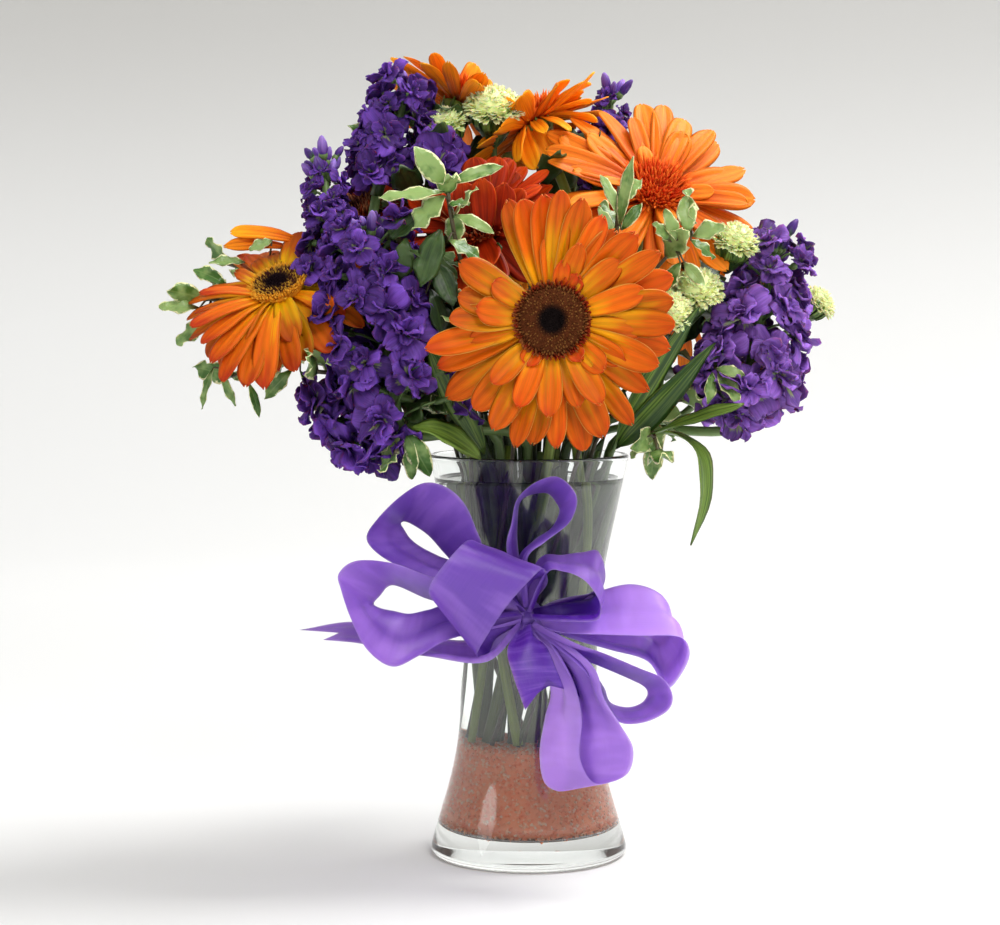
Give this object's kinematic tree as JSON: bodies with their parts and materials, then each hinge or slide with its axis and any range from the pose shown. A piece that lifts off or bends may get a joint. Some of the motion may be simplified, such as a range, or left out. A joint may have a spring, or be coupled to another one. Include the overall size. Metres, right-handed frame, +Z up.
{
  "type": "mixed bouquet in a glass vase",
  "caption": "Mixed bouquet of gerberas, stock, spray carnations and pittosporum in a concave glass vase with gravel, water and a looped satin bow.",
  "frame": {"origin": "middle of the vase's foot, on the surface that it stands on", "axes": "+Z up along the vase; the bow and the large front gerbera face -Y; +X is to the right seen from the front"},
  "size_m": [0.3407, 0.2198, 0.4157],
  "materials": {
    "glass": "clear, thick foot",
    "gravel": "fine salmon chips",
    "water": "clear",
    "ribbon": "purple satin",
    "petal_orange": "soft petals",
    "petal_red": "soft petals",
    "petal_amber": "soft petals",
    "gerbera_eye": "dense florets",
    "gerbera_stem": "soft, faintly hairy",
    "stock_floret": "ruffled petals",
    "stock_leaf": "soft leaves",
    "carnation": "fringed petals",
    "carnation_stem": "waxy",
    "pittosporum": "variegated, cream edges"
  },
  "bodies": {
    "root": {"vase": "glass", "gravel": "gravel", "water": "water", "ribbon_band": "ribbon", "ribbon_bow": "ribbon", "gerbera_front_petals": "petal_orange", "gerbera_front_eye": "gerbera_eye", "gerbera_front_stem": "gerbera_stem", "gerbera_left_petals": "petal_orange", "gerbera_left_eye": "gerbera_eye", "gerbera_left_stem": "gerbera_stem", "gerbera_right_petals": "petal_orange", "gerbera_right_eye": "gerbera_eye", "gerbera_right_stem": "gerbera_stem", "gerbera_middle_petals": "petal_red", "gerbera_middle_eye": "gerbera_eye", "gerbera_middle_stem": "gerbera_stem", "gerbera_top_left_petals": "petal_amber", "gerbera_top_left_eye": "gerbera_eye", "gerbera_top_left_stem": "gerbera_stem", "gerbera_top_petals": "petal_amber", "gerbera_top_eye": "gerbera_eye", "gerbera_top_stem": "gerbera_stem", "gerbera_behind_petals": "petal_red", "gerbera_behind_eye": "gerbera_eye", "gerbera_behind_stem": "gerbera_stem", "gerbera_back_petals": "petal_orange", "gerbera_back_eye": "gerbera_eye", "gerbera_back_stem": "gerbera_stem", "gerbera_back_right_petals": "petal_amber", "gerbera_back_right_eye": "gerbera_eye", "gerbera_back_right_stem": "gerbera_stem", "stock_left_florets": "stock_floret", "stock_left_stem": "stock_leaf", "stock_front_florets": "stock_floret", "stock_front_stem": "stock_leaf", "stock_top_florets": "stock_floret", "stock_top_stem": "stock_leaf", "stock_right_florets": "stock_floret", "stock_right_stem": "stock_leaf", "stock_back_florets": "stock_floret", "stock_back_stem": "stock_leaf", "stock_back_left_florets": "stock_floret", "stock_back_left_stem": "stock_leaf", "carnations_top_stem": "carnation_stem", "carnations_top_bloom_1": "carnation", "carnations_top_bloom_2": "carnation", "carnations_right_stem": "carnation_stem", "carnations_right_bloom_1": "carnation", "carnations_right_bloom_2": "carnation", "carnations_right_bloom_3": "carnation", "carnations_side_stem": "carnation_stem", "carnations_side_bloom_1": "carnation", "carnations_side_bloom_2": "carnation", "pittosporum_middle": "pittosporum", "pittosporum_right": "pittosporum", "pittosporum_left": "pittosporum", "pittosporum_top_left": "pittosporum", "pittosporum_low_left": "pittosporum", "pittosporum_low_right": "pittosporum"}
  },
  "joints": []
}
